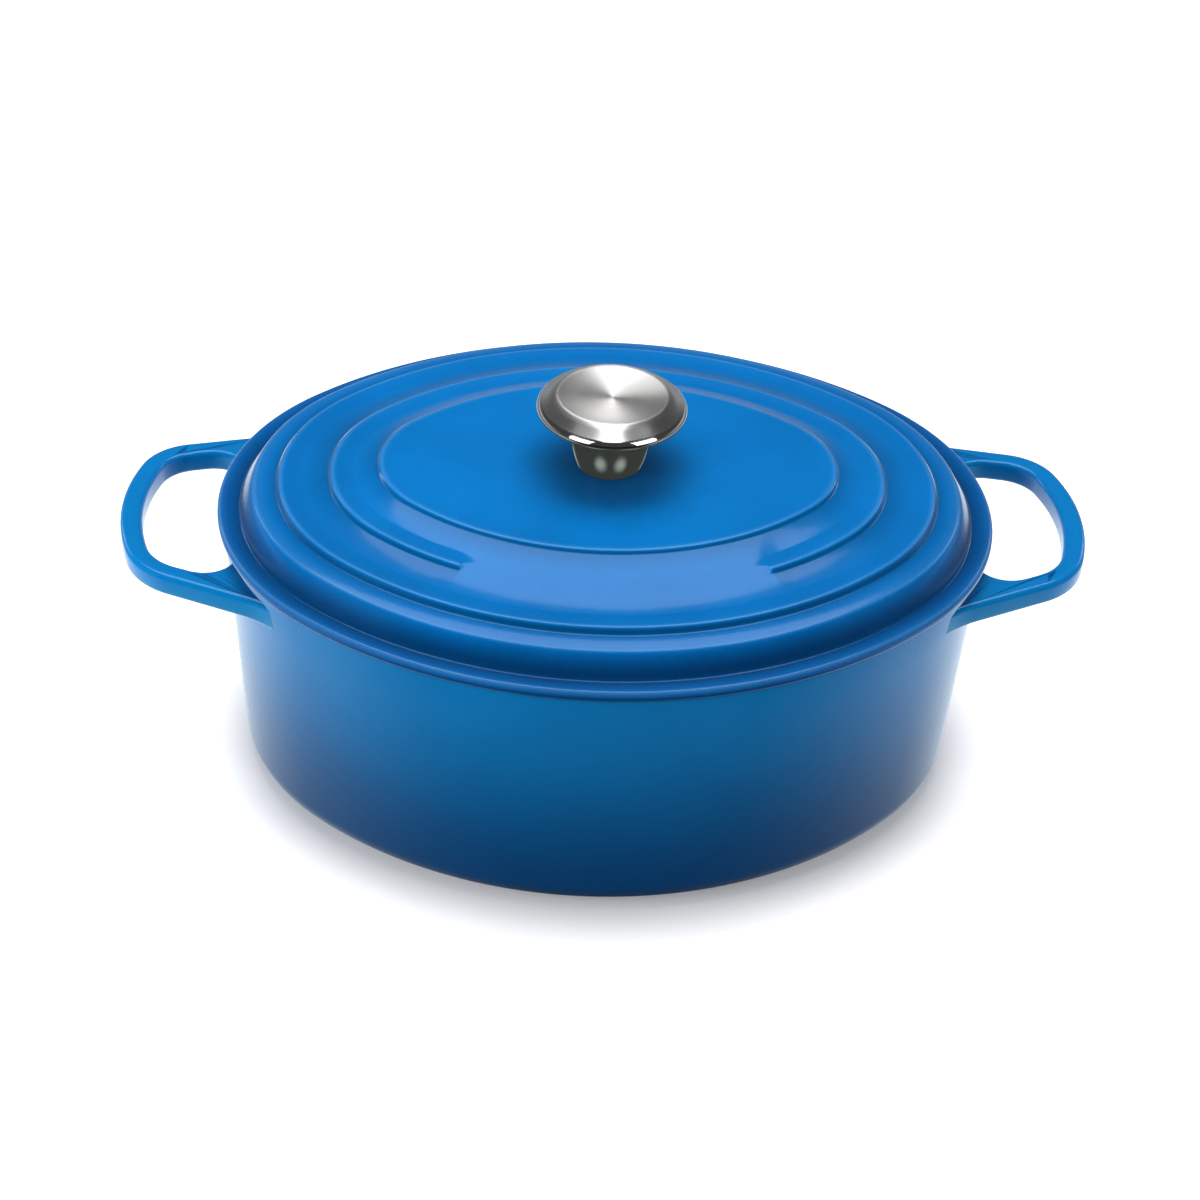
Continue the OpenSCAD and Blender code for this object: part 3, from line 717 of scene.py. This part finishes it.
aside = nodes.new("ShaderNodeMath")
aside.operation = "ABSOLUTE"
link(split.outputs["X"], aside.inputs[0])
reach = nodes.new("ShaderNodeMath")
reach.operation = "MULTIPLY_ADD"
reach.inputs[1].default_value = 0.8
link(aside.outputs[0], reach.inputs[0])
link(split.outputs["Y"], reach.inputs[2])
link(reach.outputs[0], behind.inputs["Value"])
away = nodes.new("ShaderNodeVectorMath")
away.operation = "LENGTH"
link(place.outputs["Object"], away.inputs[0])
close = nodes.new("ShaderNodeMapRange")
close.interpolation_type = "SMOOTHSTEP"
close.inputs["From Min"].default_value = 0.52
close.inputs["From Max"].default_value = 0.36
close.inputs["To Min"].default_value = 0.16
link(away.outputs["Value"], close.inputs["Value"])
level = nodes.new("ShaderNodeMath")
level.operation = "MULTIPLY"
link(behind.outputs[0], level.inputs[0])
link(close.outputs[0], level.inputs[1])
sheen = nodes.new("ShaderNodeEmission")
sheen.inputs["Color"].default_value = (0.76, 0.88, 1.0, 1)
link(level.outputs[0], sheen.inputs["Strength"])
add = nodes.new("ShaderNodeAddShader")
link(shader.outputs[0], add.inputs[0])
link(glow.outputs[0], add.inputs[1])
first = nodes.new("ShaderNodeMixShader")
link(seen.outputs["Is Camera Ray"], first.inputs[0])
link(shader.outputs[0], first.inputs[1])
link(add.outputs[0], first.inputs[2])
second = nodes.new("ShaderNodeMixShader")
link(seen.outputs["Is Glossy Ray"], second.inputs[0])
link(first.outputs[0], second.inputs[1])
link(sheen.outputs[0], second.inputs[2])
link(second.outputs[0], nodes["Material Output"].inputs["Surface"])
floor.data.materials.append(floor_paper)

# A dark card inside the pot that glows only in reflections, seen only in the neck of the knob: a painted
# reflection with two soft painted highlights
bpy.ops.mesh.primitive_circle_add(radius=0.118, vertices=64, fill_type="NGON", location=(0, 0, 0.105))
reflection_card = bpy.context.object
reflection_card.scale.x = 1.27
bpy.ops.object.transform_apply(location=False, rotation=False, scale=True)
reflection_card.name = "dark_card"
reflection_card_paint, tree, shader = new_material("dark_card", (0.05, 0.05, 0.05))
nodes, link = tree.nodes, tree.links.new
place = nodes.new("ShaderNodeTexCoord")
mirrored = nodes.new("ShaderNodeVectorMath")
mirrored.operation = "ABSOLUTE"
link(place.outputs["Object"], mirrored.inputs[0])
to_spot = nodes.new("ShaderNodeVectorMath")
to_spot.operation = "DISTANCE"
to_spot.inputs[1].default_value = (0.024, 0.043, 0.0)
link(mirrored.outputs[0], to_spot.inputs[0])
spot = nodes.new("ShaderNodeMapRange")
spot.interpolation_type = "SMOOTHSTEP"
spot.inputs["From Min"].default_value = 0.021
spot.inputs["From Max"].default_value = 0.003
spot.inputs["To Min"].default_value = 0.065
spot.inputs["To Max"].default_value = 0.50
link(to_spot.outputs["Value"], spot.inputs["Value"])
spot_light = nodes.new("ShaderNodeEmission")
spot_light.inputs["Color"].default_value = (0.90, 1.0, 0.94, 1)
link(spot.outputs[0], spot_light.inputs["Strength"])
link(spot_light.outputs[0], nodes["Material Output"].inputs["Surface"])
reflection_card.data.materials.append(reflection_card_paint)
reflection_card.visible_camera = reflection_card.visible_diffuse = reflection_card.visible_shadow = reflection_card.visible_transmission = False

world = bpy.data.worlds.new("studio")
bpy.context.scene.world = world
world.use_nodes = True
nodes, link = world.node_tree.nodes, world.node_tree.links.new
room = nodes["Background"]
room.inputs["Color"].default_value = (0.90, 0.93, 1.0, 1)
room.inputs["Strength"].default_value = 0.38
white = nodes.new("ShaderNodeBackground")
white.inputs["Color"].default_value = (1, 1, 1, 1)
dim = nodes.new("ShaderNodeBackground")
dim.inputs["Color"].default_value = (0.95, 0.97, 1.0, 1)
place = nodes.new("ShaderNodeTexCoord")
split = nodes.new("ShaderNodeSeparateXYZ")
link(place.outputs["Generated"], split.inputs[0])
low = nodes.new("ShaderNodeMapRange")
low.interpolation_type = "SMOOTHSTEP"
low.inputs["From Min"].default_value = 0.30
low.inputs["From Max"].default_value = 0.02
link(split.outputs["Z"], low.inputs["Value"])
behind = nodes.new("ShaderNodeMapRange")
behind.inputs["From Min"].default_value = -0.2
behind.inputs["From Max"].default_value = 0.4
behind.inputs["To Max"].default_value = 0.5
link(split.outputs["Y"], behind.inputs["Value"])
glow = nodes.new("ShaderNodeMath")
glow.operation = "MULTIPLY"
link(low.outputs[0], glow.inputs[0])
link(behind.outputs[0], glow.inputs[1])
level = nodes.new("ShaderNodeMath")
level.inputs[1].default_value = 0.05
link(glow.outputs[0], level.inputs[0])
link(level.outputs[0], dim.inputs["Strength"])
seen = nodes.new("ShaderNodeLightPath")
first = nodes.new("ShaderNodeMixShader")
link(seen.outputs["Is Glossy Ray"], first.inputs[0])
link(room.outputs[0], first.inputs[1])
link(dim.outputs[0], first.inputs[2])
second = nodes.new("ShaderNodeMixShader")
link(seen.outputs["Is Camera Ray"], second.inputs[0])
link(first.outputs[0], second.inputs[1])
link(white.outputs[0], second.inputs[2])
link(second.outputs[0], nodes["World Output"].inputs["Surface"])


def soft_box(name, place, aim, width, height, power, colour=(1, 1, 1)):
    lamp = bpy.data.lights.new(name, "AREA")
    lamp.shape = "RECTANGLE"
    lamp.size, lamp.size_y = width, height
    lamp.energy = power
    lamp.color = colour
    holder = bpy.data.objects.new(name, lamp)
    bpy.context.scene.collection.objects.link(holder)
    holder.location = place
    holder.rotation_euler = (Vector(aim) - Vector(place)).to_track_quat("-Z", "Y").to_euler()
    return holder


knob_pieces = (knob_cap, knob_neck)
castings = [piece for piece in bpy.data.objects if piece.type == "MESH" and piece not in knob_pieces]


def only_for(lamp, name, pieces):
    """Flags a studio lamp so that it lights these pieces alone."""
    lit = bpy.data.collections.new(name)
    for piece in pieces:
        lit.objects.link(piece)
    lamp.light_linking.receiver_collection = lit


over = soft_box("box_overhead", (0.0, 0.40, 1.30), (0, 0.05, 0.1), 1.1, 0.9, 9.5)
strips = [soft_box("strip_left", (-0.95, 0.80, 0.75), (0, 0, 0.12), 0.12, 0.6, 0.9)]
strips += [soft_box("strip_right", (0.95, 0.80, 0.75), (0, 0, 0.12), 0.12, 0.6, 0.9)]
fills = [soft_box("fill_left", (-1.15, -0.45, 0.42), (0, 0, 0.10), 0.6, 0.6, 7.4)]
fills += [soft_box("fill_right", (1.15, -0.45, 0.42), (0, 0, 0.10), 0.6, 0.6, 2.3)]
for number, lamp in enumerate([over] + strips + fills):
    only_for(lamp, "castings_" + str(number), castings)
for lamp in fills:
    lamp.visible_glossy = False

cards = [soft_box("card_above", (0.0, 0.52, 1.30), (0, 0.52, 0.15), 0.44, 2.4, 7.8)]
cards += [soft_box("card_left", (-0.85, -0.75, 0.60), (0, 0, 0.14), 0.7, 0.95, 4.6)]
cards += [soft_box("card_right", (0.85, -0.75, 0.60), (0, 0, 0.14), 0.7, 0.95, 4.6)]
for number, lamp in enumerate(cards):
    only_for(lamp, "knob_" + str(number), knob_pieces)

# A polished knob must not turn blue, nor the lid mirror the knob: no piece shows in reflections
for piece in bpy.data.objects:
    if piece.type == "MESH" and piece not in (floor, reflection_card):
        piece.visible_glossy = False

# Camera: a 72 mm lens a metre away, 34 degrees above the lid's flange
lens = bpy.data.cameras.new("camera")
lens.lens = 72.4
lens.sensor_width = 36.0
lens.clip_start = 0.05
camera = bpy.data.objects.new("camera", lens)
bpy.context.scene.collection.objects.link(camera)
rise, aside, roll = math.radians(34.14), math.radians(-4.16), math.radians(3.0)
AIM_RIGHT = -0.0029887920
AIM_UP = -0.0416355334
back = Vector((math.sin(aside) * math.cos(rise), -math.cos(aside) * math.cos(rise), math.sin(rise)))
eye = Vector((0, 0, FLANGE_TOP)) + back
right = Vector((0, 0, 1)).cross(back).normalized()
up = back.cross(right)
turned_right = right * math.cos(roll) + up * math.sin(roll)
turned_up = up * math.cos(roll) - right * math.sin(roll)
ahead = -back + turned_right * AIM_RIGHT + turned_up * AIM_UP
back = -ahead.normalized()
right = turned_up.cross(back).normalized()
up = back.cross(right)
pose = Matrix((right, up, back)).transposed().to_4x4()
pose.translation = eye
camera.matrix_world = pose
bpy.context.scene.camera = camera
bpy.context.scene.view_settings.view_transform = "Standard"
